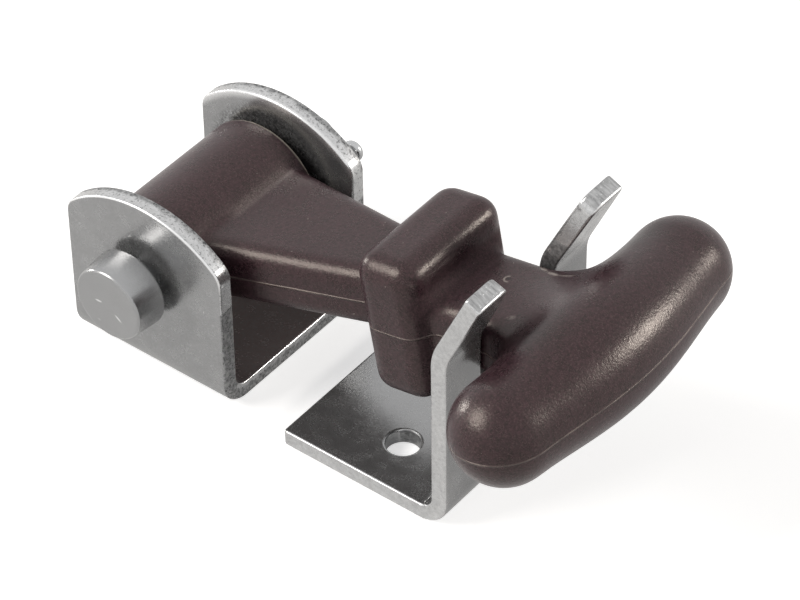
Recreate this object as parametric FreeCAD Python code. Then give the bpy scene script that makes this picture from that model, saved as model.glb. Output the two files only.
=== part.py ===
import FreeCAD, Part
import math
import os

os.makedirs("parts", exist_ok=True)

# Rubber draw latch for a case: an anchor bracket with a rubber toggle hinged on a clevis pin,
# and a keeper bracket whose slot holds the toggle's neck between the collar block and the handle.
# Millimetres. +X runs from the anchor to the keeper, +Y along the pin, +Z up from the mounting plane.
# The origin lies on the mounting plane, midway between the anchor's two screw holes.

# Both brackets: folded sheet
sheet = 2.5
fold_radius = 2.0
bracket_width = 30.4
corner_round = 0.6
edge_break = 0.35
hole_dia = 4.8
hole_spacing = 14.7

# Anchor bracket
anchor_length = 26.6
arch_over_pin = 12.9
shoulder_over_pin = 7.2
shoulder_round = 3.0

# Clevis pin
pin_dia = 6.35
pin_clearance = 0.08
pin_offset = -1.0
head_dia = 11.8         # at the back, and a little less at the face
head_face_dia = 10.8
head_thickness = 5.0
head_round = 0.4
head_play = 1.4
tip_length = 2.6
tip_chamfer = 0.9

# Split pin, seen along the clevis pin: its eye stands up to one side
wire_dia = 1.6
wire_clearance = 0.12
split_beyond_ear = 5.8
split_tilt = 16.0
eye_dia = 3.2
eye_reach = 8.0
throat_radius = 1.0
leg_gap = 0.02
leg_start = 0.5
leg_bend_radius = 2.4
leg_spread = 32.0
leg_length = 4.5

# Toggle: strap from the boss to the collar block
strap_pitch = 10.15
strap_lift = 0.9        # of the strap's middle plane over the pin's axis
boss_dia = 19.0
boss_round = 0.5
boss_side_gap = 1.4
boss_floor_gap = 4.1
neck_height = 9.1
neck_root_at = 9.1
neck_shoulder = 0.9     # of the boss beside the neck's root, on each side
neck_tip_width = 11.6
neck_round = 2.5
boss_crease = 1.6

# Toggle: collar block, rear neck and handle
block_at = 34.35
block_length = 9.8
block_width = 20.6
block_height = 21.4
block_round = 3.0
block_crease = 1.5
tail_width = 14.8
crotch_radius = 5.5
handle_at = 65.2
handle_lift = 0.33
handle_width = 51.6
handle_mid_dia = 16.7
handle_end_dia = 14.2
handle_bow_radius = 166.0
handle_blend = 5.0

# Keeper bracket
handle_to_wall = 4.55
keeper_length = 27.2
keeper_hole_inset = 14.1
slot_side_gap = 0.3
slot_floor_gap = 0.4
slot_round = 2.2
ear_straight = 7.05
ear_lean = 24.5
ear_lean_radius = 6.8
ear_length = 11.4
ear_flare_at = 7.85
ear_flare_radius = 55.0
ear_outer_round = 0.8
ear_inner_round = 2.0

# Worked out from the sizes above
fold_outside = fold_radius + sheet
boss_length = bracket_width - 2 * sheet - 2 * boss_side_gap
neck_root_width = boss_length - 2 * neck_shoulder
pin_height = sheet + boss_floor_gap + boss_dia / 2
pin_radius = pin_dia / 2
pin_hole_radius = pin_radius + pin_clearance
split_y = bracket_width / 2 + split_beyond_ear
pitch_cos = math.cos(math.radians(strap_pitch))
pitch_sin = math.sin(math.radians(strap_pitch))
wall_outside_x = pin_offset + (handle_at - handle_mid_dia / 2) * pitch_cos - handle_to_wall
wall_inside_x = wall_outside_x - sheet
keeper_start_x = wall_outside_x - keeper_length
keeper_hole_x = keeper_start_x + keeper_hole_inset

Vector = FreeCAD.Vector
along_y = Vector(0, 1, 0)
along_z = Vector(0, 0, 1)
reach = 100.0    # longer than any cut has to be


def turned(vector, degrees):
    # A plane vector (a, b) turned to the left
    c = math.cos(math.radians(degrees))
    s = math.sin(math.radians(degrees))
    return (vector[0] * c - vector[1] * s, vector[0] * s + vector[1] * c)


def strip_face(start, heading, steps, place):
    # Edge-on face of a folded strip of sheet. The path follows one side of the sheet, and the other
    # side lies one thickness to its left. A step is ("run", length) or ("fold", angle, inside radius),
    # with the angle positive to the left. place(a, b) puts a point of the plane into space.
    point = start
    direction = turned((1, 0), heading)
    side = []
    other_side = []
    first_cap = None
    for step in steps:
        normal = turned(direction, 90)
        across = (point[0] + sheet * normal[0], point[1] + sheet * normal[1])
        if first_cap is None:
            first_cap = (point, across)
        if step[0] == "run":
            move = (step[1] * direction[0], step[1] * direction[1])
            end = (point[0] + move[0], point[1] + move[1])
            end_across = (across[0] + move[0], across[1] + move[1])
            side.append(Part.makeLine(place(*point), place(*end)))
            other_side.append(Part.makeLine(place(*end_across), place(*across)))
        else:
            angle, inside_radius = step[1], step[2]
            offset = inside_radius + sheet if angle > 0 else -inside_radius
            centre = (point[0] + offset * normal[0], point[1] + offset * normal[1])

            def swung(p, degrees):
                arm = turned((p[0] - centre[0], p[1] - centre[1]), degrees)
                return (centre[0] + arm[0], centre[1] + arm[1])

            end = swung(point, angle)
            end_across = swung(across, angle)
            middle = swung(point, angle / 2)
            middle_across = swung(across, angle / 2)
            side.append(Part.Arc(place(*point), place(*middle), place(*end)).toShape())
            back = Part.Arc(place(*end_across), place(*middle_across), place(*across))
            other_side.append(back.toShape())
            direction = turned(direction, angle)
        point = end
    last_cap = Part.makeLine(place(*end), place(*end_across))
    closing = Part.makeLine(place(*first_cap[1]), place(*first_cap[0]))
    wire = Part.Wire(side + [last_cap] + list(reversed(other_side)) + [closing])
    return Part.Face(wire)


def round_bar(radius, start, direction, length):
    return Part.makeCylinder(radius, length, start, direction)


def edges_where(shape, wanted):
    return [edge for edge in shape.Edges if wanted(edge)]


def is_straight_along(edge, axis):
    if edge.Curve.TypeId != "Part::GeomLine":
        return False
    return abs(abs(edge.tangentAt(edge.FirstParameter).dot(axis)) - 1) < 1e-6


def near(value, target):
    return abs(value - target) < 0.05


def face_normal_at(face, point):
    u, v = face.Surface.parameter(point)
    return face.normalAt(u, v)


def broken_edges(shape):
    # The blank's arrises: every edge where two faces meet at a real angle gets a small round
    sharp = []
    for edge in shape.Edges:
        faces = shape.ancestorsOfType(edge, Part.Face)
        if len(faces) != 2:
            continue
        middle = edge.valueAt((edge.FirstParameter + edge.LastParameter) / 2)
        angle = face_normal_at(faces[0], middle).getAngle(face_normal_at(faces[1], middle))
        if angle > math.radians(40):
            sharp.append(edge)
    return shape.makeFillet(edge_break, sharp)


def screw_holes(x):
    cuts = []
    for side in (-1, 1):
        start = Vector(x, side * hole_spacing / 2, -sheet)
        cuts.append(round_bar(hole_dia / 2, start, along_z, 3 * sheet))
    return cuts


def pin_bore(radius):
    return round_bar(radius, Vector(pin_offset, -reach, pin_height), along_y, 2 * reach)


def make_anchor_bracket():
    # One strip folded to a U, its ears trimmed to an arch
    crown = pin_height + arch_over_pin
    shoulder = pin_height + shoulder_over_pin
    half = anchor_length / 2
    upright = ("run", crown - fold_outside)
    base = ("run", bracket_width - 2 * fold_outside)
    fold = ("fold", 90, fold_radius)
    start = (-bracket_width / 2, crown)
    face = strip_face(start, -90, [upright, fold, base, fold, upright], lambda a, b: Vector(-half, a, b))
    folded = face.extrude(Vector(anchor_length, 0, 0))
    below = -sheet
    back = -reach / 2
    foot_left = Vector(-half, back, below)
    foot_right = Vector(half, back, below)
    shoulder_left = Vector(-half, back, shoulder)
    shoulder_right = Vector(half, back, shoulder)
    outline = Part.Wire([
        Part.makeLine(foot_left, foot_right),
        Part.makeLine(foot_right, shoulder_right),
        Part.Arc(shoulder_right, Vector(0, back, crown), shoulder_left).toShape(),
        Part.makeLine(shoulder_left, foot_left),
    ])
    bracket = folded.common(Part.Face(outline).extrude(Vector(0, reach, 0)))
    shoulders = edges_where(bracket, lambda e: is_straight_along(e, along_y)
                            and near(e.Length, sheet) and near(e.CenterOfMass.z, shoulder))
    bracket = bracket.makeFillet(shoulder_round, shoulders)
    bracket = bracket.cut([pin_bore(pin_hole_radius)] + screw_holes(0))
    return broken_edges(bracket)


def make_clevis_pin():
    # Turned: thick plain head, shank, chamfered tip; drilled across for the split pin
    under_head = -bracket_width / 2 - head_play
    head_face = under_head - head_thickness
    tip = split_y + tip_length
    points = [
        (0, head_face),
        (head_face_dia / 2, head_face),
        (head_dia / 2, under_head),
        (pin_radius, under_head),
        (pin_radius, tip - tip_chamfer),
        (pin_radius - tip_chamfer / 2, tip),
        (0, tip),
        (0, head_face),
    ]
    corners = [Vector(pin_offset + r, y, pin_height) for r, y in points]
    profile = Part.Face(Part.makePolygon(corners))
    pin = profile.revolve(Vector(pin_offset, 0, pin_height), along_y, 360)
    rims = edges_where(pin, lambda e: e.Curve.TypeId == "Part::GeomCircle" and e.Curve.Radius > 1.2 * pin_radius)
    pin = pin.makeFillet(head_round, rims)
    across = Vector(math.cos(math.radians(split_tilt)), 0, math.sin(math.radians(split_tilt)))
    start = Vector(pin_offset, split_y, pin_height) - across * head_dia
    hole = round_bar(wire_dia / 2 + wire_clearance, start, across, 2 * head_dia)
    return pin.cut(hole)


def make_split_pin():
    # Half-round wire swept along a planar path: leg, throat, eye, throat, leg.
    # Drawn with the eye along +X from the clevis pin's axis, then tilted and moved into place.
    wire_radius = wire_dia / 2
    eye_inside = eye_dia / 2 - wire_radius
    throat_drop = leg_gap + throat_radius
    throat_back = math.sqrt((throat_radius + eye_inside) ** 2 - throat_drop ** 2)
    throat_x = eye_reach - throat_back
    meet_share = throat_radius / (throat_radius + eye_inside)
    meet = Vector(throat_x + throat_back * meet_share, 0, throat_drop * (1 - meet_share))
    throat_centre = Vector(throat_x, 0, throat_drop)
    throat_half = (meet - throat_centre).getAngle(Vector(0, 0, -1)) / 2
    throat_middle = throat_centre + Vector(math.sin(throat_half), 0, -math.cos(throat_half)) * throat_radius
    bend_x = -(pin_radius + leg_start)
    bend_centre = Vector(bend_x, 0, leg_gap + leg_bend_radius)

    def on_bend(degrees):
        angle = math.radians(degrees)
        return bend_centre + Vector(-math.sin(angle), 0, -math.cos(angle)) * leg_bend_radius

    bend_end = on_bend(leg_spread)
    spread = math.radians(leg_spread)
    leg_tip = bend_end + Vector(-math.cos(spread), 0, math.sin(spread)) * leg_length
    straight_start = Vector(bend_x, 0, leg_gap)
    straight_end = Vector(throat_x, 0, leg_gap)

    def below(p):
        return Vector(p.x, p.y, -p.z)

    upper = [
        Part.makeLine(leg_tip, bend_end),
        Part.Arc(bend_end, on_bend(leg_spread / 2), straight_start).toShape(),
        Part.makeLine(straight_start, straight_end),
        Part.Arc(straight_end, throat_middle, meet).toShape(),
    ]
    eye = Part.Arc(meet, Vector(eye_reach + eye_inside, 0, 0), below(meet)).toShape()
    lower = [
        Part.Arc(below(meet), below(throat_middle), below(straight_end)).toShape(),
        Part.makeLine(below(straight_end), below(straight_start)),
        Part.Arc(below(straight_start), below(on_bend(leg_spread / 2)), below(bend_end)).toShape(),
        Part.makeLine(below(bend_end), below(leg_tip)),
    ]
    path = Part.Wire(upper + [eye] + lower)
    outward = Vector(math.sin(spread), 0, math.cos(spread))
    flat_start = leg_tip - along_y * wire_radius
    flat_end = leg_tip + along_y * wire_radius
    section = Part.Wire([
        Part.Arc(flat_start, leg_tip + outward * wire_radius, flat_end).toShape(),
        Part.makeLine(flat_end, flat_start),
    ])
    sweep = Part.BRepOffsetAPI.MakePipeShell(path)
    sweep.setBiNormalMode(along_y)
    sweep.add(section)
    sweep.build()
    sweep.makeSolid()
    pin = sweep.shape()
    pin.rotate(Vector(0, 0, 0), along_y, -split_tilt)
    pin.translate(Vector(pin_offset, split_y, pin_height))
    return pin


def rounded_section(u, half_width, half_height, radius):
    # Rectangle with rounded corners, square to the strap and centred on its middle plane
    flat_y = half_width - radius
    flat_w = half_height - radius
    bow = radius * math.sqrt(0.5)
    edges = []
    for a, b in ((1, 1), (-1, 1), (-1, -1), (1, -1)):
        corner_y = Vector(u, a * half_width, strap_lift + b * flat_w)
        corner_w = Vector(u, a * flat_y, strap_lift + b * half_height)
        middle = Vector(u, a * (flat_y + bow), strap_lift + b * (flat_w + bow))
        first, last = (corner_y, corner_w) if a * b > 0 else (corner_w, corner_y)
        if edges:
            edges.append(Part.makeLine(edges[-1].valueAt(edges[-1].LastParameter), first))
        edges.append(Part.Arc(first, middle, last).toShape())
    closing_start = edges[-1].valueAt(edges[-1].LastParameter)
    closing_end = edges[0].valueAt(edges[0].FirstParameter)
    edges.append(Part.makeLine(closing_start, closing_end))
    return Part.Wire(edges)


def make_boss():
    start = Vector(0, -boss_length / 2, 0)
    boss = round_bar(boss_dia / 2, start, along_y, boss_length)
    rims = edges_where(boss, lambda e: e.Curve.TypeId == "Part::GeomCircle")
    return boss.makeFillet(boss_round, rims)


def make_neck():
    # Tapers evenly from the boss to the collar block
    taper = (neck_root_width - neck_tip_width) / (block_at - neck_root_at)
    inside_boss = 0.3 * boss_dia
    inside_block = block_at + 1
    sections = []
    for u in (inside_boss, inside_block):
        half_width = (neck_root_width - taper * (u - neck_root_at)) / 2
        sections.append(rounded_section(u, half_width, neck_height / 2, neck_round))
    return Part.makeLoft(sections, True, True)


def make_block():
    corner = Vector(block_at, -block_width / 2, strap_lift - block_height / 2)
    block = Part.makeBox(block_length, block_width, block_height, corner)
    return block.makeFillet(block_round, block.Edges)


def handle_centre(s):
    # The handle's centreline is an arc, bowed away from the strap; s is the distance across it
    angle = math.asin(s / handle_bow_radius)
    u = handle_at - handle_bow_radius + handle_bow_radius * math.cos(angle)
    return Vector(u, s, handle_lift), Vector(-math.sin(angle), math.cos(angle), 0)


def make_handle():
    # Round bar, thickest in the middle, with round ends
    mid_radius = handle_mid_dia / 2
    end_radius = handle_end_dia / 2
    half_span = handle_width / 2 - end_radius
    sections = []
    stations = 8
    for i in range(-stations, stations + 1):
        share = i / stations
        centre, direction = handle_centre(share * half_span)
        thinning = 2 * share ** 2 - share ** 4
        radius = mid_radius - (mid_radius - end_radius) * thinning
        sections.append(Part.Wire(Part.makeCircle(radius, centre, direction)))
    bar = Part.makeLoft(sections, True, False)
    ends = [Part.makeSphere(end_radius, handle_centre(side * half_span)[0]) for side in (-1, 1)]
    return bar.fuse(ends)


def make_tail():
    # Rear neck: flat bar that spreads into the handle with a round crotch on each side
    half_width = tail_width / 2
    half_height = neck_height / 2
    start_u = block_at + block_length / 2
    handle_side = handle_at - math.sqrt((handle_mid_dia / 2) ** 2 - half_height ** 2)
    crotch_u = handle_side - crotch_radius
    crotch_y = half_width + crotch_radius
    bow = crotch_radius * math.sqrt(0.5)
    end_y = crotch_y + neck_round

    def at(u, y):
        return Vector(u, y, strap_lift - half_height)

    side = []
    for s in (1, -1):
        side.append([
            Part.makeLine(at(start_u, s * half_width), at(crotch_u, s * half_width)),
            Part.Arc(at(crotch_u, s * half_width), at(crotch_u + bow, s * (crotch_y - bow)),
                     at(handle_side, s * crotch_y)).toShape(),
            Part.makeLine(at(handle_side, s * crotch_y), at(handle_side, s * end_y)),
            Part.makeLine(at(handle_side, s * end_y), at(handle_at, s * end_y)),
        ])
    across_handle = Part.makeLine(at(handle_at, end_y), at(handle_at, -end_y))
    across_block = Part.makeLine(at(start_u, -half_width), at(start_u, half_width))
    outline = Part.Wire(Part.__sortEdges__(side[0] + [across_handle] + side[1] + [across_block]))
    tail = Part.Face(outline).extrude(Vector(0, 0, neck_height))

    def is_long_arris(edge):
        flat = near(abs(edge.CenterOfMass.z - strap_lift), half_height) and edge.BoundBox.ZLength < 0.05
        before_handle = edge.BoundBox.XMax < handle_side + 0.05
        return flat and before_handle and edge.BoundBox.XMax > start_u + 0.05

    return tail.makeFillet(neck_round, edges_where(tail, is_long_arris))


def make_rubber_toggle():
    toggle = make_boss().fuse([make_neck(), make_block(), make_tail(), make_handle()])
    toggle = toggle.removeSplitter()
    block_end = block_at + block_length

    def on_neck(edge):
        box = edge.BoundBox
        return max(strap_lift - box.ZMin, box.ZMax - strap_lift) < neck_height / 2 + 0.05

    def on_boss(edge):
        return on_neck(edge) and 0 < edge.BoundBox.XMin and edge.BoundBox.XMax < boss_dia / 2 + 0.05

    def on_block(edge):
        box = edge.BoundBox
        return on_neck(edge) and near(box.XMin, box.XMax) and (near(box.XMin, block_at) or near(box.XMin, block_end))

    def on_handle(edge):
        faces = toggle.ancestorsOfType(edge, Part.Face)
        beside_bar = any(face.BoundBox.YLength > handle_width / 2 for face in faces)
        return on_neck(edge) and beside_bar and edge.BoundBox.XMax < handle_at

    for radius, wanted in ((boss_crease, on_boss), (block_crease, on_block), (handle_blend, on_handle)):
        toggle = toggle.makeFillet(radius, edges_where(toggle, wanted))
    bore = round_bar(pin_hole_radius, Vector(0, -reach, 0), along_y, 2 * reach)
    toggle = toggle.cut(bore)
    toggle.rotate(Vector(0, 0, 0), along_y, -strap_pitch)
    toggle.translate(Vector(pin_offset, 0, pin_height))
    return toggle


def neck_underside_at(x):
    # Height of the rear neck's underside above the mounting plane
    drop = neck_height / 2 - strap_lift
    u = (x - pin_offset - drop * pitch_sin) / pitch_cos
    return pin_height + u * pitch_sin - drop * pitch_cos


def slot_outline():
    # Seen along the strap: flat floor with round corners, upright sides that flare between the ears
    floor = neck_underside_at(wall_inside_x) - slot_floor_gap
    half = tail_width / 2 + slot_side_gap
    flare_start = floor + ear_flare_at
    flare_rise = 2 * ear_length
    flare_angle = math.asin(flare_rise / ear_flare_radius)
    bow = slot_round * math.sqrt(0.5)
    front = wall_inside_x - ear_lean_radius

    def at(y, z):
        return Vector(front, y, z)

    def on_flare(s, angle):
        out = ear_flare_radius * (1 - math.cos(angle))
        return at(s * (half + out), flare_start + ear_flare_radius * math.sin(angle))

    edges = [Part.makeLine(at(-half + slot_round, floor), at(half - slot_round, floor))]
    for s in (1, -1):
        edges.append(Part.Arc(at(s * (half - slot_round), floor),
                              at(s * (half - slot_round + bow), floor + slot_round - bow),
                              at(s * half, floor + slot_round)).toShape())
        edges.append(Part.makeLine(at(s * half, floor + slot_round), at(s * half, flare_start)))
        edges.append(Part.Arc(at(s * half, flare_start), on_flare(s, flare_angle / 2),
                              on_flare(s, flare_angle)).toShape())
    edges.append(Part.makeLine(on_flare(1, flare_angle), on_flare(-1, flare_angle)))
    return Part.Face(Part.Wire(Part.__sortEdges__(edges)))


def make_keeper_bracket():
    # One strip folded to an L, its wall slotted and the two ears above the slot bent outwards
    floor = neck_underside_at(wall_inside_x) - slot_floor_gap
    lean_start = floor + ear_straight
    half = bracket_width / 2
    steps = [
        ("run", keeper_length - fold_outside),
        ("fold", 90, fold_radius),
        ("run", lean_start - fold_outside),
        ("fold", -ear_lean, ear_lean_radius),
        ("run", ear_length),
    ]
    face = strip_face((keeper_start_x, 0), 0, steps, lambda a, b: Vector(a, -half, b))
    folded = face.extrude(Vector(0, bracket_width, 0))
    bracket = folded.cut(slot_outline().extrude(Vector(reach, 0, 0)))
    feet = edges_where(bracket, lambda e: is_straight_along(e, along_z)
                       and near(e.CenterOfMass.x, keeper_start_x))
    bracket = bracket.makeFillet(corner_round, feet)

    def tip_corners(at_least, at_most):
        # Corner edges of the ear tips whose distance from the middle plane lies in this range
        high = lean_start + ear_length / 2
        return edges_where(bracket, lambda e: e.CenterOfMass.z > high and e.Length < 1.2 * sheet
                           and at_least < abs(e.CenterOfMass.y) < at_most)

    bracket = bracket.makeFillet(ear_outer_round, tip_corners(half - ear_outer_round / 2, half + 1))
    bracket = bracket.makeFillet(ear_inner_round, tip_corners(0, half - 2 * ear_outer_round))
    bracket = bracket.cut(screw_holes(keeper_hole_x))
    return broken_edges(bracket)


nodes = {
    "anchor_bracket": make_anchor_bracket,
    "clevis_pin": make_clevis_pin,
    "split_pin": make_split_pin,
    "rubber_toggle": make_rubber_toggle,
    "keeper_bracket": make_keeper_bracket,
}

for name, make in nodes.items():
    solid = make()
    if solid.ShapeType != "Solid":
        solid = solid.Solids[0]
    solid.exportStep("parts/" + name + ".step")
    print(name, "volume", round(solid.Volume, 1), "valid", solid.isValid(), "faces", len(solid.Faces))
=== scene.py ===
import math
import bmesh
import bpy
import numpy as np
from mathutils import Matrix, Vector


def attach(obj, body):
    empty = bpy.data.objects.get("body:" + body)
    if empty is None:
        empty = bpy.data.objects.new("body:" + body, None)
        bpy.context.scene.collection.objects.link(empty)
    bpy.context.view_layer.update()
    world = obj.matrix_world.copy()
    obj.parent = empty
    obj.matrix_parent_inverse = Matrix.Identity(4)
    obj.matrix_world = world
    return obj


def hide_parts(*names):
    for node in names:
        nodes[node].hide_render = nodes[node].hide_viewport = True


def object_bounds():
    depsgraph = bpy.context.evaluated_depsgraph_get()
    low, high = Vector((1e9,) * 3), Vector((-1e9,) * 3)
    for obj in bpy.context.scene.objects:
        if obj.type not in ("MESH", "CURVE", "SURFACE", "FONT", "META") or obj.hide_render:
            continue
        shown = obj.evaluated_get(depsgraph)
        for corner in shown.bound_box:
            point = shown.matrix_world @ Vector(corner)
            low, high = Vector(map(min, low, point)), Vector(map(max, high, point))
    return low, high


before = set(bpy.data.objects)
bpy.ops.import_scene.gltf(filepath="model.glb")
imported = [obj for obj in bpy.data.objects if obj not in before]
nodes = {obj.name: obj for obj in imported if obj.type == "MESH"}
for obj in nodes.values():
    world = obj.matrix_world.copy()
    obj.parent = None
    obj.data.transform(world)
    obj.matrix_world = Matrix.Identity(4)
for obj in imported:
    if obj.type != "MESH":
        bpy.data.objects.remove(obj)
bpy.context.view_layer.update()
print("frame loaded:", sorted(nodes))

mm = 0.001

# Where the pieces are, in millimetres: read by the materials that follow the shape
shape = {
    "strapPitch": 10.15,         # degrees the strap rises towards the keeper
    "strapLift": 0.9,            # of its middle plane over the pin's axis
    "pin": (-1.0, 0.0, 16.1),
    "sheet": 2.5,
    "foldOutside": 4.5,          # outer radius of the brackets' folds
    "halfWidth": 15.2,           # of both brackets
    "arch": (0.0, 10.63, 18.37), # of the anchor's ears: x and z of its centre, its radius
    "archFrom": (22.0, 1.2),     # height, and how soft this limit is
    "keeperStart": 23.8,         # just past the base's free edge
    "wallInside": 47.0,
    "slotFloor": (20.0, 21.4),   # heights just under and over it
    "earLean": 24.5,
    "earTip": (38.0, 1.0),       # height, and how soft this limit is
    "bossRim": (11.05, 9.1),     # half length and radius where the boss's rims begin
    "blockFoot": (44.6, 5.45),   # the block's rear crease, along the strap and over its plane
}

pinAxis = (shape["pin"][0], shape["pin"][2])

# A face points a given way where its normal's part that way is over one of these
partly, mostly, clearly, squarely = 0.55, 0.60, 0.70, 0.90


# Small helpers for node trees

def feed(tree, node, inputs):
    # An input is a value, or a socket to link from
    for key, value in inputs.items():
        if isinstance(value, bpy.types.NodeSocket):
            tree.links.new(value, node.inputs[key])
        else:
            node.inputs[key].default_value = value


def place(tree, kind, inputs, **settings):
    made = tree.nodes.new(kind)
    for name, value in settings.items():
        setattr(made, name, value)
    feed(tree, made, inputs)
    return made


def calc(tree, operation, a, b=0.0, clamp=False):
    made = place(tree, "ShaderNodeMath", {0: a, 1: b}, operation=operation, use_clamp=clamp)
    return made.outputs[0]


def chain(tree, operation, values):
    # The first two values together, then that and the third, and so on
    made = values[0]
    for value in values[1:]:
        made = calc(tree, operation, made, value)
    return made


def total(tree, *values):
    return chain(tree, "ADD", values)


def product(tree, *values):
    return chain(tree, "MULTIPLY", values)


def largest(tree, *values):
    return chain(tree, "MAXIMUM", values)


def less(tree, a, b):
    return calc(tree, "SUBTRACT", a, b)


def spread(tree, value, amount):
    # How far a noise is over or under its middle: (value - 0.5) amount
    return product(tree, less(tree, value, 0.5), amount)


def blend(tree, share, a, b):
    # a (1 - share) + b share
    return total(tree, product(tree, a, less(tree, 1.0, share)), product(tree, b, share))


def distance(tree, a, b, centre=(0.0, 0.0)):
    # From the centre, in the plane of a and b: the root of the sum of both squares
    da, db = less(tree, a, centre[0]), less(tree, b, centre[1])
    return calc(tree, "SQRT", total(tree, product(tree, da, da), product(tree, db, db)))


def turned(tree, a, b, degrees):
    # The same point on axes turned by so many degrees: a cos + b sin, and b cos - a sin
    c, s = math.cos(math.radians(degrees)), math.sin(math.radians(degrees))
    return (total(tree, product(tree, a, c), product(tree, b, s)),
            total(tree, product(tree, b, c), product(tree, a, -s)))


def ramp(tree, value, low, high, toLow=0.0, toHigh=1.0):
    # Smooth step from toLow at low to toHigh at high
    return place(tree, "ShaderNodeMapRange", {0: value, 1: low, 2: high, 3: toLow, 4: toHigh},
                 interpolation_type="SMOOTHSTEP").outputs[0]


def fading(tree, value, low, high):
    return ramp(tree, value, low, high, 1.0, 0.0)


def above(tree, value, limit, softness=0.08):
    return ramp(tree, value, limit - softness, limit + softness)


def below(tree, value, limit, softness=0.08):
    return fading(tree, value, limit - softness, limit + softness)


def scaled(tree, vector, factor):
    made = place(tree, "ShaderNodeVectorMath", {0: vector, 3: factor}, operation="SCALE")
    return made.outputs[0]


def mixColor(tree, share, a, b):
    # b is a socket, or three numbers
    b = b if isinstance(b, bpy.types.NodeSocket) else (*b, 1.0)
    return place(tree, "ShaderNodeMix", {0: share, 6: a, 7: b}, data_type="RGBA").outputs[2]


def noise(tree, vector, size, detail, rough):
    # Grain whose lumps are about size millimetres across
    return place(tree, "ShaderNodeTexNoise", {"Vector": vector, "Scale": 1.0 / (size * mm),
                                              "Detail": detail, "Roughness": rough}).outputs[0]


def bumped(tree, height, depth, **under):
    # depth is in millimetres; under may give the Normal of a bump below this one
    made = place(tree, "ShaderNodeBump", {"Height": height, "Distance": depth * mm,
                                          "Strength": 1.0, **under})
    return made.outputs[0]


def coordinates(tree):
    # The place on the object in metres, its parts in millimetres, and the normal's parts
    source = tree.nodes.new("ShaderNodeTexCoord").outputs
    position = source["Object"]
    at = place(tree, "ShaderNodeSeparateXYZ", {0: scaled(tree, position, 1.0 / mm)}).outputs
    facing = place(tree, "ShaderNodeSeparateXYZ", {0: source["Normal"]}).outputs
    return position, tuple(at), tuple(facing)


ovalFade = (0.35, 1.0)           # from where a mark fades, to where it ends


def ovalMarks(tree, a, b, marks):
    # Each mark is full inside an ellipse, and fades to its edge: the root of the sum of the squares
    # of its length over its own half length and its breadth over its own half breadth
    made = []
    for middleA, middleB, length, width, turn in marks:
        along, beside = turned(tree, less(tree, a, middleA), less(tree, b, middleB), turn)
        out = distance(tree, calc(tree, "DIVIDE", along, length),
                       calc(tree, "DIVIDE", beside, width))
        made.append(fading(tree, out, *ovalFade))
    return largest(tree, *made)


def newMaterial(name):
    material = bpy.data.materials.new(name)
    material.use_nodes = True
    tree = material.node_tree
    tree.nodes.clear()
    shader = tree.nodes.new("ShaderNodeBsdfPrincipled")
    place(tree, "ShaderNodeOutputMaterial", {0: shader.outputs[0]})
    return material, tree, shader


def newGroup(name, inputs, outputs):
    # Position is a vector, and everything else a number
    group = bpy.data.node_groups.new(name, "ShaderNodeTree")
    for way, labels in (("INPUT", inputs), ("OUTPUT", outputs)):
        for label in labels:
            kind = "NodeSocketVector" if label == "Position" else "NodeSocketFloat"
            group.interface.new_socket(name=label, in_out=way, socket_type=kind)
    return group, group.nodes.new("NodeGroupInput").outputs, group.nodes.new("NodeGroupOutput")


def useGroup(tree, group, **values):
    return place(tree, "ShaderNodeGroup", values, node_tree=group).outputs


# Effects that several materials share. A noise has a size in millimetres, a detail and a roughness.

plate = {
    "clouds": (9.0, 3.0, 0.55),
    "patches": (2.2, 4.0, 0.6),
    "grain": (0.36, 2.0, 0.6),
    "grainRough": 0.6,           # how much of the grain shows in the roughness
    "patchHeight": 0.5,
    "grainHeight": 0.3,
}


def makePlateGroup():
    # Zinc plating on rolled sheet: clouds, cloudy patches and a fine grain
    group, start, end = newGroup("zincPlate", ("Position", "Cloud", "Grain"),
                                 ("Tone", "Roughness", "Height"))
    position = start["Position"]
    patches = noise(group, position, *plate["patches"])
    grain = noise(group, position, *plate["grain"])
    cloudPart = spread(group, noise(group, position, *plate["clouds"]), start["Cloud"])
    patchPart = spread(group, patches, start["Cloud"])
    grainPart = spread(group, grain, start["Grain"])
    feed(group, end, {
        "Tone": total(group, cloudPart, patchPart, grainPart, 1.0),
        "Roughness": total(group, patchPart, product(group, grainPart, plate["grainRough"])),
        "Height": total(group, product(group, patches, plate["patchHeight"]),
                        product(group, grain, plate["grainHeight"])),
    })
    return group


sheared = {
    "waver": (1.4, 3.0, 0.6),
    "waverBy": 0.7,              # of the line between the strips, in thicknesses of the sheet
    "strips": (-0.10, 0.16),     # from burnished to torn
    "coarse": (0.55, 3.0, 0.65),
    "fine": (0.17, 2.0, 0.6),
    "pits": (0.36, 2.0, 0.6),
    "pitsAt": (0.54, 0.68),
    "bright": (0.84, 0.60),      # the burnished strip's tone, and how much it varies
    "dull": (0.25, 0.34),        # the torn strip's tone, and how much brighter its lumps are
    "lumpsAt": (0.40, 0.66),
    "roughness": (0.24, 0.42),   # burnished and torn
    "smoothHeight": 0.25,        # how much of the torn strip's lumps the burnished one has
    "fineHeight": 0.30,
}


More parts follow.
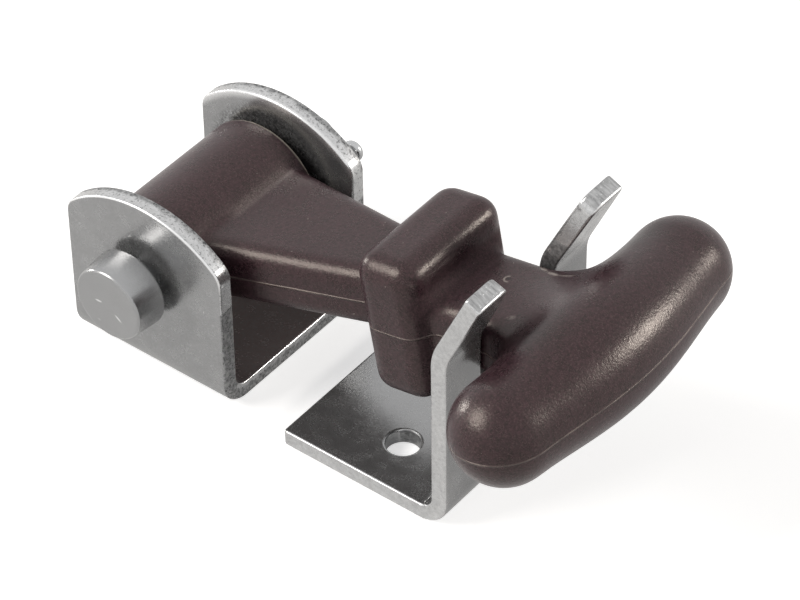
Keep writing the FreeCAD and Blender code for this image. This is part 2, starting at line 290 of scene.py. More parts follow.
def makeShearedGroup():
    # Sheared edge of the sheet: a bright burnished strip on one side of the thickness and a dull,
    # torn one on the other. Across runs from 0 to 1 through the sheet, and Burnished is the
    # bright strip's share of it.
    group, start, end = newGroup("shearedEdge", ("Position", "Across", "Burnished", "Pits"),
                                 ("Tone", "Roughness", "Height"))
    position = start["Position"]
    waver = spread(group, noise(group, position, *sheared["waver"]), sheared["waverBy"])
    across = total(group, start["Across"], waver)
    torn = ramp(group, less(group, across, start["Burnished"]), *sheared["strips"])
    coarse = noise(group, position, *sheared["coarse"])
    fine = noise(group, position, *sheared["fine"])
    pits = ramp(group, noise(group, position, *sheared["pits"]), *sheared["pitsAt"])
    bright = total(group, sheared["bright"][0], spread(group, coarse, sheared["bright"][1]))
    lumps = product(group, ramp(group, coarse, *sheared["lumpsAt"]), sheared["dull"][1])
    tone = blend(group, torn, bright, total(group, lumps, sheared["dull"][0]))
    rise = product(group, coarse, total(group, torn, sheared["smoothHeight"]))
    feed(group, end, {
        "Tone": calc(group, "SUBTRACT", tone, product(group, pits, start["Pits"]), clamp=True),
        "Roughness": ramp(group, torn, 0.0, 1.0, *sheared["roughness"]),
        "Height": total(group, rise, product(group, fine, sheared["fineHeight"])),
    })
    return group


scuffs = {
    "turn": (0.3, 0.2, 0.7),     # radians
    "squeeze": (1.0, 4.0, 1.0),
    "lines": (1.6, 2.0, 0.5),
    "linesAt": (0.69, 0.76),
    "places": (7.0, 1.0, 0.5),
    "placesAt": (0.52, 0.66),
}


def makeScuffGroup():
    # Short, shallow marks in one direction, few and far between
    group, start, end = newGroup("scuffMarks", ("Position", "Amount"), ("Mask",))
    stretched = place(group, "ShaderNodeMapping", {"Vector": start["Position"],
                                                   "Rotation": scuffs["turn"],
                                                   "Scale": scuffs["squeeze"]}).outputs[0]
    lines = ramp(group, noise(group, stretched, *scuffs["lines"]), *scuffs["linesAt"])
    places = noise(group, start["Position"], *scuffs["places"])
    mask = product(group, lines, ramp(group, places, *scuffs["placesAt"]), start["Amount"])
    feed(group, end, {"Mask": mask})
    return group


plateGroup = makePlateGroup()
shearedGroup = makeShearedGroup()
scuffGroup = makeScuffGroup()
print("shared effects made")


# Zinc-plated brackets

zinc = {
    "face": (0.355, 0.357, 0.360),
    "faceRoughness": 0.24,
    "metallic": 0.80,            # the rest is the plating's dull film
    "cutDark": (0.07, 0.071, 0.073, 1.0),
    "cutLight": (0.66, 0.662, 0.665),
    # colour of the painted highlights on corners, also used for the ear tips' bright points
    "arris": (0.82, 0.822, 0.825),
    "cloud": 0.26,
    "grain": 0.32,
    "bump": 0.014,
    "cutBump": 0.022,
    "scuff": 0.5,
    "scuffColor": (0.62, 0.62, 0.63),
    # colour of the painted brown reflection of the rubber on the anchor's base and inner faces
    "rubberReflectionColor": (0.135, 0.090, 0.088),
    "rubberReflectionMatt": 0.6,             # how much less metallic the painted brown reflection makes it
    "tip": (0.40, 0.402, 0.405),
    "tipStretch": (0.22, 1.0, 0.22),
    "tipStreaks": (0.40, 3.0, 0.6),
    "tipTone": (1.7, 0.93),      # how much it varies, and its middle
    "tipPoints": (0.33, 1.0, 0.5),
    "tipPointsAt": (0.66, 0.74),
    "tipPointsShare": 0.7,
}


def tipColor(tree, position):
    # Grey, with faint streaks across the sheet and a few bright points
    along = place(tree, "ShaderNodeMapping", {"Vector": position, "Scale": zinc["tipStretch"]})
    streaks = noise(tree, along.outputs[0], *zinc["tipStreaks"])
    variety, middle = zinc["tipTone"]
    grey = scaled(tree, zinc["tip"], total(tree, spread(tree, streaks, variety), middle))
    points = ramp(tree, noise(tree, position, *zinc["tipPoints"]), *zinc["tipPointsAt"])
    return mixColor(tree, product(tree, points, zinc["tipPointsShare"]), grey, zinc["arris"])


def finishZinc(tree, shader, position, masks):
    # masks: cut, where the sheared edge is, with across, burnished and pits for it; arris, for
    # painted highlights on corners; shade, for painted shade and darker patches; tips, for the ear
    # tips' even grey, or None; and the mask of a painted brown reflection of the rubber, or None
    plating = useGroup(tree, plateGroup, Position=position, Cloud=zinc["cloud"],
                       Grain=zinc["grain"])
    edge = useGroup(tree, shearedGroup, Position=position, Across=masks["across"],
                    Burnished=masks["burnished"], Pits=masks["pits"])
    scuff = useGroup(tree, scuffGroup, Position=position, Amount=zinc["scuff"])
    # the plating's tone, less the painted shade
    face = scaled(tree, zinc["face"], less(tree, plating["Tone"], masks["shade"]))
    face = mixColor(tree, scuff["Mask"], face, zinc["scuffColor"])
    edgeColor = mixColor(tree, edge["Tone"], zinc["cutDark"], zinc["cutLight"])
    color = mixColor(tree, masks["cut"], face, edgeColor)
    if masks["tips"] is not None:
        color = mixColor(tree, masks["tips"], color, tipColor(tree, position))
    # painted highlights on corners
    color = mixColor(tree, masks["arris"], color, zinc["arris"])
    metallic = zinc["metallic"]
    if masks["rubberReflection"] is not None:
        color = mixColor(tree, masks["rubberReflection"], color, zinc["rubberReflectionColor"])
        metallic = less(tree, metallic, product(tree, masks["rubberReflection"], zinc["rubberReflectionMatt"]))
    faceRough = calc(tree, "ADD", plating["Roughness"], zinc["faceRoughness"], clamp=True)
    edgeHeight = product(tree, edge["Height"], masks["cut"])
    faceBump = bumped(tree, plating["Height"], zinc["bump"])
    feed(tree, shader, {
        "Base Color": color,
        "Metallic": metallic,
        "Roughness": blend(tree, masks["cut"], faceRough, edge["Roughness"]),
        "Normal": bumped(tree, edgeHeight, zinc["cutBump"], Normal=faceBump),
    })


# Limits are in millimetres, and a second number beside one is how soft it is
anchorFinish = {
    "pits": 0.50,
    "archBurnished": 0.62,       # share of the sheet's thickness
    "endsOver": (17.6, 0.7),     # the end faces towards the keeper are burnished over this height,
    "endsHigh": (19.1, 4.0),     # and both over this one
    "endsUnder": (3.4, 0.6),     # and less so under this one
    "endsBurnished": (-0.25, 1.6, 0.50),  # between them, and how much more up and down there
    "farArchHighlightFrom": (12.0, 0.2),   # a painted highlight on the rolled inner corner along the far arch: from y,
    "farArchHighlightTo": (13.1, 0.3),     # to y,
    "farArchHighlightDepth": (0.8, 0.6),   # and how far in from the arch
    "farArchHighlight": 0.85,
    "nearArchHighlightFrom": (-14.7, 0.2),    # y of the painted highlight on the near arch's outer corner,
    "nearArchHighlightTurn": (0.35, 0.92, 0.06),  # from and to where it turns outwards, and how soft
    "footUnder": (3.2, 0.8),     # the folds' outer sides are darker under this height
    "footBeyond": (13.5, 0.8),   # and beyond this y on both sides
    "foot": 0.16,
    "shadeAboutPin": (10.5, 1.2),       # radius about the pin of the painted shade on the ears' inner faces beside the boss
    "shadeAndSmears": (0.45, 3.0, 0.75), # black smears and bare points in that painted shade
    "smearShade": (1.95, -3.4),  # where the noise is 0, and how much it rises to where it is 1
    "reflectionUnder": (3.4, 0.3),     # a painted brown reflection of the rubber: on the base under this height,
    "reflectionWithin": (12.0, 1.0),   # and within this y, and on the ears' inner faces
    "reflectionUp": (9.0, 4.0),        # under this height
    "dustAndPaintedLight": 0.75,
    "patches": (0.50, 3.0, 0.65),
    "patchesAt": (0.30, 0.62, 0.55, 1.0),  # from and to which noise, and how full there
}


def makeAnchorZinc():
    # The sheared edge is what faces along X, and the arch over each ear
    look = anchorFinish
    material, tree, shader = newMaterial("anchorZinc")
    position, (x, y, z), (nx, ny, nz) = coordinates(tree)
    side = calc(tree, "ABSOLUTE", y)
    flat = calc(tree, "ABSOLUTE", ny)
    # distance from the fold's own axis, less its inside radius, over the sheet's thickness
    sheet, fold = shape["sheet"], shape["foldOutside"]
    out = largest(tree, less(tree, side, shape["halfWidth"] - fold), 0.0)
    down = largest(tree, less(tree, fold, z), 0.0)
    fromFold = calc(tree, "DIVIDE", distance(tree, out, down), sheet)
    across = less(tree, fromFold, fold / sheet - 1.0)
    centreX, centreZ, radius = shape["arch"]
    depth = less(tree, radius, distance(tree, x, z, (centreX, centreZ)))
    high = above(tree, z, *shape["archFrom"])
    archFace = product(tree, high, below(tree, flat, clearly))
    cut = largest(tree, above(tree, calc(tree, "ABSOLUTE", nx), partly), archFace)
    # painted highlight along the far arch's rolled inner corner
    farArchHighlight = product(tree, high, above(tree, y, *look["farArchHighlightFrom"]),
                     below(tree, y, *look["farArchHighlightTo"]),
                     below(tree, depth, *look["farArchHighlightDepth"]), look["farArchHighlight"])
    # painted highlight on the near arch's outer corner
    turnFrom, turnTo, turnSoft = look["nearArchHighlightTurn"]
    wearAndHighlight = product(tree, high, below(tree, y, *look["nearArchHighlightFrom"]),
                   above(tree, flat, turnFrom, turnSoft), below(tree, flat, turnTo, turnSoft))
    # how far each face is burnished, and from which side of the sheet
    towardsKeeper = product(tree, above(tree, z, *look["endsOver"]), above(tree, nx, 0.0))
    upper = largest(tree, above(tree, z, *look["endsHigh"]), towardsKeeper)
    lower = below(tree, z, *look["endsUnder"])
    middle, more, some = look["endsBurnished"]
    ends = total(tree, product(tree, upper, more), product(tree, lower, some), middle)
    farOrNear = calc(tree, "SIGN", y)
    onFarSide = largest(tree, product(tree, total(tree, farOrNear, 1.0), 0.5), lower)
    # painted shade on the ears' inner faces about the pin, where the boss sits close, broken into
    # black smears and bare points
    inwards = product(tree, farOrNear, ny, -1.0)
    onEars = above(tree, inwards, clearly)
    fromPin = distance(tree, x, z, pinAxis)
    shadeFrom, shadeRise = look["smearShade"]
    shadeAndSmears = noise(tree, position, *look["shadeAndSmears"])
    shadeAndSmears = product(tree, onEars, below(tree, fromPin, *look["shadeAboutPin"]),
                     total(tree, product(tree, shadeAndSmears, shadeRise), shadeFrom))
    foot = product(tree, below(tree, z, *look["footUnder"]), above(tree, side, *look["footBeyond"]),
                   look["foot"])
    # painted brown reflection of the rubber, on the base under the boss and low on the ears' inner
    # faces
    onBase = product(tree, above(tree, nz, clearly), below(tree, z, *look["reflectionUnder"]),
                     below(tree, side, *look["reflectionWithin"]))
    lowInside = product(tree, onEars, below(tree, z, *look["reflectionUp"]))
    patchy = ramp(tree, noise(tree, position, *look["patches"]), *look["patchesAt"])
    finishZinc(tree, shader, position, {
        "cut": cut,
        "across": blend(tree, onFarSide, less(tree, 1.0, across), across),
        "burnished": blend(tree, archFace, ends, look["archBurnished"]),
        "pits": look["pits"],
        "arris": largest(tree, farArchHighlight, wearAndHighlight),
        "shade": total(tree, foot, shadeAndSmears),
        "tips": None,
        "rubberReflection": product(tree, largest(tree, onBase, lowInside), patchy, look["dustAndPaintedLight"]),
    })
    return material


keeperFinish = {
    "pits": 0.12,
    "innerWithin": (13.0, 0.5),  # a side within this y is one of the ears' inner flanks
    "tornUnder": (33.5, 1.6),    # which are more torn under this height
    "tornEnds": 0.9,             # how torn the ear tips and the base's free edge are
    "tornFlanks": (0.62, 0.25),  # and the flanks, and how much more low down
    "burnished": (1.5, 0.25),    # untorn and torn
    "across": (1.8, 2.0, 0.5),
    "floorSoft": 0.2,
    "freeSoft": 0.1,
    "arrisOut": 0.28,            # the painted highlight on the tips' outer corner is where it turns at least this much outwards,
    "arrisUp": 0.30,             # and this much along the ear
}


def makeKeeperZinc():
    # The sheared edge is what faces along Y, the ear tips, the slot's floor and the base's free
    # edge. Its long sides are burnished through, its tips are torn.
    look = keeperFinish
    material, tree, shader = newMaterial("keeperZinc")
    position, (x, y, z), (nx, ny, nz) = coordinates(tree)
    outward, alongEar = turned(tree, nx, nz, -shape["earLean"])
    atTip = above(tree, z, *shape["earTip"])
    sides = above(tree, calc(tree, "ABSOLUTE", ny), mostly)
    tips = product(tree, above(tree, alongEar, clearly), atTip)
    floorLow, floorHigh = shape["slotFloor"]
    soft = look["floorSoft"]
    floor = product(tree, above(tree, z, floorLow, soft), above(tree, x, shape["wallInside"], soft),
                    above(tree, nz, clearly), below(tree, z, floorHigh, soft))
    free = product(tree, below(tree, nx, -clearly),
                   below(tree, x, shape["keeperStart"], look["freeSoft"]))
    inner = product(tree, sides, below(tree, calc(tree, "ABSOLUTE", y), *look["innerWithin"]))
    flankTorn, deepTorn = look["tornFlanks"]
    deep = product(tree, below(tree, z, *look["tornUnder"]), deepTorn)
    torn = largest(tree, product(tree, largest(tree, tips, free), look["tornEnds"]),
                   product(tree, inner, total(tree, flankTorn, deep)))
    finishZinc(tree, shader, position, {
        "cut": largest(tree, sides, tips, floor, free),
        "across": noise(tree, position, *look["across"]),
        "burnished": ramp(tree, torn, 0.0, 1.0, *look["burnished"]),
        "pits": look["pits"],
        # painted highlight along the ear tips' outer corner
        "arris": product(tree, atTip, above(tree, outward, look["arrisOut"]),
                         above(tree, alongEar, look["arrisUp"])),
        "shade": 0.0,
        "tips": tips,
        "rubberReflection": None,
    })
    return material


# Clevis pin and split pin

pinFinish = {
    "face": (0.385, 0.387, 0.390),
    "roughness": 0.22,
    "metallic": 0.85,
    "cloud": 0.12,
    "grain": 0.12,
    "bump": 0.008,
    "ringPitch": 0.16,
    "ringHeight": 0.25,
    "scuff": 0.7,
    "scuffColor": (0.75, 0.75, 0.76),
    # dents in the head's face: x, z, half length, half width and turn of each
    "dents": ((-2.5, 16.15, 0.75, 0.22, 5.0), (0.8, 14.7, 0.85, 0.24, -38.0)),
    "dentColor": (0.85, 0.85, 0.86),
    "dentShare": 0.8,
    "dentDepth": 3.0,
}

wireFinish = {
    "face": (0.50, 0.505, 0.51),
    "roughness": 0.26,
    "metallic": 1.0,
    "cloud": 0.15,
    "grain": 0.2,
    "bump": 0.01,
}


def plainZinc(tree, shader, position, look):
    # Sets the roughness and how metallic it is, and gives the colour and the height
    plating = useGroup(tree, plateGroup, Position=position, Cloud=look["cloud"],
                       Grain=look["grain"])
    rough = calc(tree, "ADD", plating["Roughness"], look["roughness"], clamp=True)
    feed(tree, shader, {"Roughness": rough, "Metallic": look["metallic"]})
    return scaled(tree, look["face"], plating["Tone"]), plating["Height"]


def makePinZinc():
    # Turned steel under thin plating: rings about the pin's axis, as the sine of the radius and y
    look = pinFinish
    material, tree, shader = newMaterial("turnedZinc")
    position, (x, y, z), facing = coordinates(tree)
    color, height = plainZinc(tree, shader, position, look)
    turns = total(tree, distance(tree, x, z, pinAxis), y)
    rings = calc(tree, "SINE", product(tree, turns, 2 * math.pi / look["ringPitch"]))
    scuff = useGroup(tree, scuffGroup, Position=position, Amount=look["scuff"])
    color = mixColor(tree, scuff["Mask"], color, look["scuffColor"])
    dents = product(tree, ovalMarks(tree, x, z, look["dents"]), below(tree, facing[1], -squarely))
    color = mixColor(tree, product(tree, dents, look["dentShare"]), color, look["dentColor"])
    height = total(tree, product(tree, rings, look["ringHeight"]), height)
    height = less(tree, height, product(tree, dents, look["dentDepth"]))
    feed(tree, shader, {"Base Color": color, "Normal": bumped(tree, height, look["bump"])})
    return material


def makeWireZinc():
    material, tree, shader = newMaterial("drawnWireZinc")
    color, height = plainZinc(tree, shader, coordinates(tree)[0], wireFinish)
    feed(tree, shader, {"Base Color": color, "Normal": bumped(tree, height, wireFinish["bump"])})
    return material


# Rubber

rubber = {
    "color": (0.034, 0.0152, 0.0202),
    "lumps": (2.5, 3.0, 0.55),
    "lumpsBy": (0.40, 0.16),     # how much they change the tone and the roughness
    "clouds": (12.0, 2.0, 0.5),
    "cloudsBy": 0.35,            # how much they change the tone
    "mottle": (0.40, 2.0, 0.6),
    "mottleBy": 2.6,
    # pale worn tone, for grime and scuffs
    "wearAndHighlight": (0.120, 0.088, 0.082),
    "grime": (0.50, 0.72, 0.42, 0.30),  # from and to which grain, how pale, and how much rougher
    "scuff": (0.35, 0.6),
    # pale colour of real dust specks, also used for the painted highlights in the crease, beside
    # the tail and on the nick's rim
    "dustAndPaintedLight": (0.30, 0.26, 0.24),
    "specksAt": (0.765, 0.80),   # dust is where the specks and the lumps both are high
    "lumpsAt": (0.45, 0.60),
    "roughness": 0.28,
    "specular": 0.45,
    "sheen": (1.0, 0.90, 0.82, 1.0),  # tint of its highlights
    "grain": (0.20, 3.0, 0.65),
    "specks": (0.42, 1.0, 0.5),
    "bump": 0.018,
    "speckHeight": 1.6,
    # its parting line, with half its width and its height
    "line": 0.22,
    "lineColor": (0.25, 0.195, 0.175),
    "lineHeight": 0.15,
    "waver": (5.0, 2.0, 0.5),
    "waverBy": 0.12,
    "stretches": (4.5, 2.0, 0.5),
    "stretchesAt": (0.42, 0.58, 0.40, 1.0),  # from and to which noise, and how plain it is there
    "lineShare": 0.85,
    "lineLift": (0.33, 44.0, 58.0),  # at the handle, and from and to which x it changes to it
    # painted highlights on the boss's rims, at the far and the near end; how soft, how far in, how
    # wide
    "rim": (0.50, 0.45, 0.38),
    "rimHighlight": (0.9, 0.45),
    "rimSoft": (0.15, 0.12),
    "rimInside": 0.25,
    "rimWidth": (1.0, 0.2),
    # a grainy painted highlight in the crease between boss and neck: x and z, how wide, from and to
    # y, and how strong
    "crease": (5.8, 23.05),
    "creaseWidth": (0.3, 1.3),
    "creaseFrom": (-3.5, 1.5),
    "creaseTo": (8.0, 1.0),
    "creaseGrain": (0.40, 0.62, 0.3, 1.0),
    "creaseShare": 0.34,
    # painted highlights on the crotch's edges beside the tail: x, y, half length, half width and
    # turn of each mark
    "farCrotchHighlights": ((50.2, 5.75, 1.0, 0.48, -28.0), (52.0, 5.22, 1.3, 0.46, -5.0),
                (54.0, 5.35, 1.5, 0.32, 8.0)),
    "nearCrotchHighlights": ((52.9, -4.9, 0.85, 0.5, 20.0),),
    "crotchHighlightShares": (0.9, 0.5),
    "broken": (0.30, 2.0, 0.6),
    "brokenAt": (0.34, 0.50),
    # a nick in the rear neck's top: a small pit painted dark as its shade, with a raised rim
    # painted pale on its near side as a highlight
    "nick": (47.6, 1.75, 0.55),  # its place from above, and its radius
    "nickPit": (0.25, 0.75),     # in radii: where the pit ends,
    "nickRim": (0.75, 1.05),     # where the rim starts
    "nickEnd": (1.15, 1.55),     # and where it ends
    "nickTurn": 0.4,             # the rim is where x and this share of y together
    "nickSide": (-0.15, 0.25),   # are less than this
    # painted shade in the nick's pit
    "nickPitShade": (0.006, 0.004, 0.005),
    "nickShare": 0.8,
    # mould dust dulls the crease behind the block: from and to which distance, and how much
    "dull": (1.0, 2.6, 0.45),
}


def partingLine(tree, position, x, height):
    # The mould parts on the strap's own middle plane, which leaves a thin line: full where its
    # height over that plane is nothing, and gone half its width away
    atHandle, changeFrom, changeTo = rubber["lineLift"]
    lift = ramp(tree, x, changeFrom, changeTo, shape["strapLift"], atHandle)
    waver = spread(tree, noise(tree, position, *rubber["waver"]), rubber["waverBy"])
    away = calc(tree, "ABSOLUTE", total(tree, less(tree, height, lift), waver))
    return fading(tree, away, 0.0, rubber["line"])


def bossHighlights(tree, x, y, z, grain):
    # Painted highlights: on the rims, at the boss's ends and at its full radius from the pin, and a
    # grainy one in the crease between boss and neck
    fromAxis = distance(tree, x, z, pinAxis)
    end, radius = shape["bossRim"]
    farRimHighlight, nearRimHighlight = rubber["rimHighlight"]
    farSoft, nearSoft = rubber["rimSoft"]
    width, widthSoft = rubber["rimWidth"]
    farEnd = above(tree, y, end - rubber["rimInside"], farSoft)
    ends = total(tree, product(tree, farEnd, farRimHighlight),
                 product(tree, below(tree, y, -end, nearSoft), nearRimHighlight))
    rim = product(tree, above(tree, fromAxis, radius, farSoft),
                  below(tree, fromAxis, radius + width, widthSoft), ends)
    fromCrease = distance(tree, x, z, rubber["crease"])
    dustAndPaintedLight = product(tree, fading(tree, fromCrease, *rubber["creaseWidth"]),
                   above(tree, y, *rubber["creaseFrom"]), below(tree, y, *rubber["creaseTo"]),
                   ramp(tree, grain, *rubber["creaseGrain"]), rubber["creaseShare"])
    return rim, dustAndPaintedLight


def crotchHighlights(tree, position, x, y, upwards):
    # Painted highlights on what faces upwards, broken up by a noise
    onTop = above(tree, upwards, mostly)
    broken = ramp(tree, noise(tree, position, *rubber["broken"]), *rubber["brokenAt"])
    sides = [product(tree, ovalMarks(tree, x, y, rubber[side]), onTop, broken, share)
             for side, share in zip(("farCrotchHighlights", "nearCrotchHighlights"), rubber["crotchHighlightShares"])]
    return largest(tree, *sides)


def tailNick(tree, x, y, upwards):
    # Its pit, painted dark as shade, and the raised rim that runs round the pit on one side,
    # painted pale as a highlight
    nickX, nickY, radius = rubber["nick"]
    alongX, alongY = less(tree, x, nickX), less(tree, y, nickY)
    out = calc(tree, "DIVIDE", distance(tree, alongX, alongY), radius)
    onTop = above(tree, upwards, squarely)
    slanted = total(tree, alongX, product(tree, alongY, rubber["nickTurn"]))
    nearSide = fading(tree, slanted, *rubber["nickSide"])
    pit = product(tree, fading(tree, out, *rubber["nickPit"]), onTop, rubber["nickShare"])
    rim = product(tree, ramp(tree, out, *rubber["nickRim"]), fading(tree, out, *rubber["nickEnd"]),
                  nearSide, onTop, rubber["nickShare"])
    return pit, rim


def makeRubber():
    # Satin moulded rubber
    material, tree, shader = newMaterial("mouldedRubber")
    position, (x, y, z), facing = coordinates(tree)
    pinX, pinZ = pinAxis
    along, height = turned(tree, less(tree, x, pinX), less(tree, z, pinZ), shape["strapPitch"])
    grain, specks, lumps, clouds, mottle = (
        noise(tree, position, *rubber[name])
        for name in ("grain", "specks", "lumps", "clouds", "mottle"))
    lumpTone, lumpRough = rubber["lumpsBy"]
    tone = total(tree, spread(tree, lumps, lumpTone), spread(tree, clouds, rubber["cloudsBy"]),
                 1.0, spread(tree, mottle, rubber["mottleBy"]))
    grimeFrom, grimeTo, grimePale, grimeRough = rubber["grime"]
    grime = product(tree, ramp(tree, grain, grimeFrom, grimeTo), grimePale)
    dustAndPaintedLight = product(tree, ramp(tree, specks, *rubber["specksAt"]),
                   ramp(tree, lumps, *rubber["lumpsAt"]))
    scuffAmount, scuffShare = rubber["scuff"]
    scuff = useGroup(tree, scuffGroup, Position=position, Amount=scuffAmount)["Mask"]
    line = partingLine(tree, position, x, height)
    stretches = noise(tree, position, *rubber["stretches"])
    stretches = ramp(tree, stretches, *rubber["stretchesAt"])
    rim, creaseHighlight = bossHighlights(tree, x, y, z, grain)
    pit, nickRim = tailNick(tree, x, y, facing[2])
    color = scaled(tree, rubber["color"], tone)
    # grime, dust specks, scuffs and the parting line are the rubber's own; the crease, the crotch's
    # edges and the boss's rims get painted highlights, and the nick painted shade in its pit and a
    # painted highlight on its rim
    for share, paint in (
            (grime, rubber["wearAndHighlight"]),
            (dustAndPaintedLight, rubber["dustAndPaintedLight"]),
            (product(tree, scuff, scuffShare), rubber["wearAndHighlight"]),
            (product(tree, line, stretches, rubber["lineShare"]), rubber["lineColor"]),
            (creaseHighlight, rubber["dustAndPaintedLight"]),
            (crotchHighlights(tree, position, x, y, facing[2]), rubber["dustAndPaintedLight"]),
            (rim, rubber["rim"]),
            (nickRim, rubber["dustAndPaintedLight"]),
            (pit, rubber["nickPitShade"])):
        color = mixColor(tree, share, color, paint)
    dullFrom, dullTo, dullRough = rubber["dull"]
    dull = fading(tree, distance(tree, along, height, shape["blockFoot"]), dullFrom, dullTo)
    skin = total(tree, grain, product(tree, specks, rubber["speckHeight"]))
    fine = bumped(tree, skin, rubber["bump"])
    feed(tree, shader, {
        "Base Color": color,
        "Roughness": total(tree, rubber["roughness"], spread(tree, lumps, lumpRough),
                           product(tree, dull, dullRough), product(tree, grime, grimeRough)),
        "Specular IOR Level": rubber["specular"],
        "Specular Tint": rubber["sheen"],
        "Normal": bumped(tree, line, rubber["lineHeight"], Normal=fine),
    })
    return material


# The toggle's moulding runs from its tail into the handle without a crease

moulding = {
    "voxel": 0.32,                # size of the copy's faces
    "from": (46.5, 50.0),         # along the strap: where the filling starts
    "to": (66.0, 69.0),           # and where it ends, past the handle's crown
    "halfWidth": (13.0, 19.0),    # and where it ends to each side
    "upwards": (-0.15, 0.10),     # and how much a place has to face upwards
    "rounds": 1400,
    "outwardFrom": (54.0, 56.0),  # along the strap: where the crotch's corners start to fill up
    "outwardUpwards": (-0.30, 0.0),
    "outwardRounds": 350,
    "easing": 2,                  # rounds over the whole copy at the end
    "weldWithin": 0.001,
}


def smoothStep(value, low, high):
    # 3 t t - 2 t t t, where t runs from 0 at low to 1 at high
    t = np.clip((value - low) / (high - low), 0.0, 1.0)
    return t * t * (3.0 - 2.0 * t)


def edgesAt(edges, weight):
    # The ends of every edge at a point that has weight, and how many such edges each point has
    first, second = edges[(weight[edges[:, 0]] > 0.0) | (weight[edges[:, 1]] > 0.0)].T
    count = np.bincount(first, minlength=len(weight)) + np.bincount(second, minlength=len(weight))
    return first, second, np.maximum(count, 1)


def meanOfNeighbours(values, first, second, count):
    # The sum of each point's neighbours along its edges, over how many there are
    sums = (np.bincount(first, values[second], len(values))
            + np.bincount(second, values[first], len(values)))
    return sums / count


def meanPoints(points, first, second, count):
    means = [meanOfNeighbours(points[:, k], first, second, count) for k in range(3)]
    return np.stack(means, axis=1)


def vertexVectors(mesh, field):
    values = np.empty(len(mesh.vertices) * 3)
    mesh.vertices.foreach_get(field, values)
    return values.reshape(-1, 3)


def evenCopy(source, name):
    # The source's mesh with its faces joined, then made anew in small even faces
    copy = bpy.data.objects.new(name + "Copy", source.data.copy())
    bpy.context.scene.collection.objects.link(copy)
    merged = bmesh.new()
    merged.from_mesh(copy.data)
    bmesh.ops.remove_doubles(merged, verts=merged.verts, dist=moulding["weldWithin"] * mm)
    merged.to_mesh(copy.data)
    merged.free()
    remesh = copy.modifiers.new("even", "REMESH")
    remesh.mode = "VOXEL"
    remesh.voxel_size = moulding["voxel"] * mm
    evaluated = copy.evaluated_get(bpy.context.evaluated_depsgraph_get())
    mesh = bpy.data.meshes.new_from_object(evaluated)
    bpy.data.objects.remove(copy)
    return mesh


def makeMoulding(source, name):
    # A copy of the toggle in small even faces. Its height over the strap's plane is raised, round
    # by round, to the mean of its neighbours wherever that mean is higher: only hollows fill up.
    mesh = evenCopy(source, name)
    points = vertexVectors(mesh, "co")
    edges = np.empty(len(mesh.edges) * 2, dtype=np.int32)
    mesh.edges.foreach_get("vertices", edges)
    edges = edges.reshape(-1, 2)
    pitch = math.radians(shape["strapPitch"])
    alongStrap = np.array((math.cos(pitch), 0.0, math.sin(pitch)))
    upStrap = np.array((-math.sin(pitch), 0.0, math.cos(pitch)))
    fromPin = points - np.array(shape["pin"]) * mm
    along = fromPin @ alongStrap / mm
    height = fromPin @ upStrap

    def share(start, normals, upwards):
        # How much a point takes part: the product of its shares along, upwards and to the sides
        weight = smoothStep(along, *start) * (1.0 - smoothStep(along, *moulding["to"]))
        weight *= smoothStep(normals @ upStrap, *upwards)
        weight *= 1.0 - smoothStep(np.abs(points[:, 1]) / mm, *moulding["halfWidth"])
        return weight

    weight = share(moulding["from"], vertexVectors(mesh, "normal"), moulding["upwards"])
    around = edgesAt(edges, weight)
    raised = height.copy()
    for turn in range(moulding["rounds"]):
        mean = meanOfNeighbours(raised, *around)
        raised += weight * np.maximum(mean - raised, 0.0)
    points += (raised - height)[:, None] * upStrap
    # then the corners beside the tail fill up along their own normals in the same way
    mesh.vertices.foreach_set("co", points.ravel())
    mesh.update()
    normals = vertexVectors(mesh, "normal")
    corner = share(moulding["outwardFrom"], normals, moulding["outwardUpwards"])
    around = edgesAt(edges, corner)
    for turn in range(moulding["outwardRounds"]):
        towards = meanPoints(points, *around) - points
        push = np.maximum(np.einsum("ij,ij->i", towards, normals), 0.0) * corner
        points += push[:, None] * normals
    around = edgesAt(edges, np.ones(len(points)))
    for turn in range(moulding["easing"]):
        points = meanPoints(points, *around)
    mesh.vertices.foreach_set("co", points.ravel())
    mesh.update()
    mesh.shade_smooth()
    piece = bpy.data.objects.new(name, mesh)
    bpy.context.scene.collection.objects.link(piece)
    most = round(float((raised - height).max()) / mm, 2)
    print(name, "height raised by up to", most, "mm,", len(mesh.polygons), "faces")
    return piece


def dress(piece, material):
    piece.data.materials.clear()
    piece.data.materials.append(material)


dress(nodes["anchor_bracket"], makeAnchorZinc())
dress(nodes["keeper_bracket"], makeKeeperZinc())
dress(nodes["clevis_pin"], makePinZinc())
dress(nodes["split_pin"], makeWireZinc())
toggle = makeMoulding(nodes["rubber_toggle"], "toggleMoulding")
dress(toggle, makeRubber())
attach(toggle, "toggle")
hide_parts("rubber_toggle")
print("materials placed")


# Floor, light and camera, in metres

white = (1.0, 1.0, 1.0, 1.0)

studio = {
    "floorSize": 6.0,
    "floorGap": 0.00005,         # under the lowest piece
    "floorColor": (0.80, 0.80, 0.80, 1.0),
    "floorGlow": 0.60,           # added where the camera sees the floor
    "mirrorGlow": 0.19,          # added where a reflection shows the floor
    "fill": 0.28,                # how strongly the white surroundings light the object
    "middle": (0.03, 0.0, 0.015),
    "lampDistance": 0.8,
    # the direction it shines from, its size, its power and its colour
    "lamps": {
        "backLamp": ((0.68, 0.64, 0.36), (0.24, 0.09), 3.0, (1.0, 0.96, 0.91)),
        "leftLamp": ((-0.54, -0.58, 0.61), (0.48, 0.42), 4.5, (1.0, 0.97, 0.93)),
        "sideLamp": ((-0.98, -0.08, 0.16), (0.12, 0.12), 1.5, (1.0, 0.97, 0.93)),
    },
}

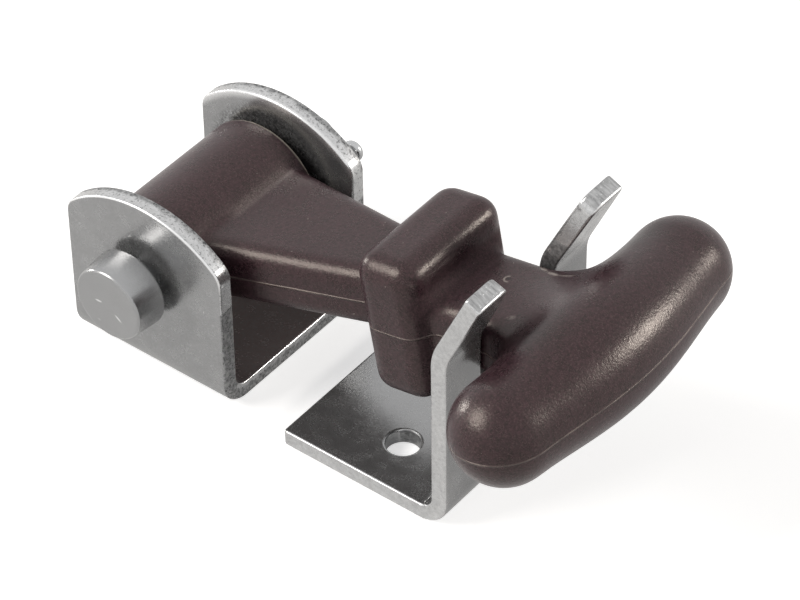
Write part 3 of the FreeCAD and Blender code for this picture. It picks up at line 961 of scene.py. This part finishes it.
view = {
    "azimuth": 38.42,            # degrees, from -Y towards +X
    "elevation": 41.9,
    "roll": -0.78,
    "distance": 0.51151,
    "target": (0.02491, 0.00801, 0.0100),
    "lens": 171.0,
}


def seenRays(tree):
    # Where the camera sees it directly, and where a reflection shows it
    path = tree.nodes.new("ShaderNodeLightPath").outputs
    return path["Is Camera Ray"], largest(tree, path["Is Glossy Ray"], path["Is Transmission Ray"])


def makeFloor():
    half = studio["floorSize"] / 2
    mesh = bpy.data.meshes.new("floor")
    corners = [(-half, -half, 0), (half, -half, 0), (half, half, 0), (-half, half, 0)]
    mesh.from_pydata(corners, [], [(0, 1, 2, 3)])
    floor = bpy.data.objects.new("floor", mesh)
    bpy.context.scene.collection.objects.link(floor)
    material, tree, shader = newMaterial("paleFloor")
    direct, mirrored = seenRays(tree)
    feed(tree, shader, {
        "Base Color": studio["floorColor"],
        "Roughness": 1.0,
        "Specular IOR Level": 0.0,
        "Emission Color": white,
        "Emission Strength": total(tree, product(tree, direct, studio["floorGlow"]),
                                   product(tree, mirrored, studio["mirrorGlow"])),
    })
    mesh.materials.append(material)
    floor.location = (0.0, 0.0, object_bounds()[0][2] - studio["floorGap"])


def makeWorld():
    # White where it is seen, and dimmer as a light
    world = bpy.data.worlds.new("studio")
    bpy.context.scene.world = world
    world.use_nodes = True
    tree = world.node_tree
    tree.nodes.clear()
    strength = ramp(tree, largest(tree, *seenRays(tree)), 0.0, 1.0, studio["fill"], 1.0)
    back = place(tree, "ShaderNodeBackground", {"Color": white, "Strength": strength})
    place(tree, "ShaderNodeOutputWorld", {0: back.outputs[0]})


def makeLamp(name, direction, size, power, color):
    # An area lamp that looks at the studio's middle from the given direction
    light = bpy.data.lights.new(name, "AREA")
    light.shape = "ELLIPSE"
    light.size, light.size_y = size
    light.energy = power
    light.color = color
    lamp = bpy.data.objects.new(name, light)
    bpy.context.scene.collection.objects.link(lamp)
    away = Vector(direction).normalized()
    position = Vector(studio["middle"]) + away * studio["lampDistance"]
    turn = away.to_track_quat("Z", "Y").to_matrix().to_4x4()
    lamp.matrix_world = Matrix.Translation(position) @ turn


def makeCamera():
    # It looks along -back at the target; its right and up are turned about back by the roll:
    # right cos + up sin, and up cos - right sin
    azimuth, elevation, roll = (math.radians(view[k]) for k in ("azimuth", "elevation", "roll"))
    level = math.cos(elevation)
    back = Vector((math.sin(azimuth) * level, -math.cos(azimuth) * level, math.sin(elevation)))
    right = Vector((math.cos(azimuth), math.sin(azimuth), 0.0))
    up = back.cross(right)
    rolledRight = right * math.cos(roll) + up * math.sin(roll)
    rolledUp = up * math.cos(roll) - right * math.sin(roll)
    data = bpy.data.cameras.new("camera")
    data.lens = view["lens"]
    data.sensor_width = 36.0
    data.sensor_fit = "HORIZONTAL"
    data.clip_start = 0.01
    data.clip_end = 20.0
    camera = bpy.data.objects.new("camera", data)
    bpy.context.scene.collection.objects.link(camera)
    turn = Matrix((rolledRight, rolledUp, back)).transposed().to_4x4()
    position = Vector(view["target"]) + back * view["distance"]
    camera.matrix_world = Matrix.Translation(position) @ turn
    bpy.context.scene.camera = camera


makeFloor()
makeWorld()
for name, values in studio["lamps"].items():
    makeLamp(name, *values)
makeCamera()
bpy.context.scene.view_settings.view_transform = "Standard"
print("floor, light and camera placed")
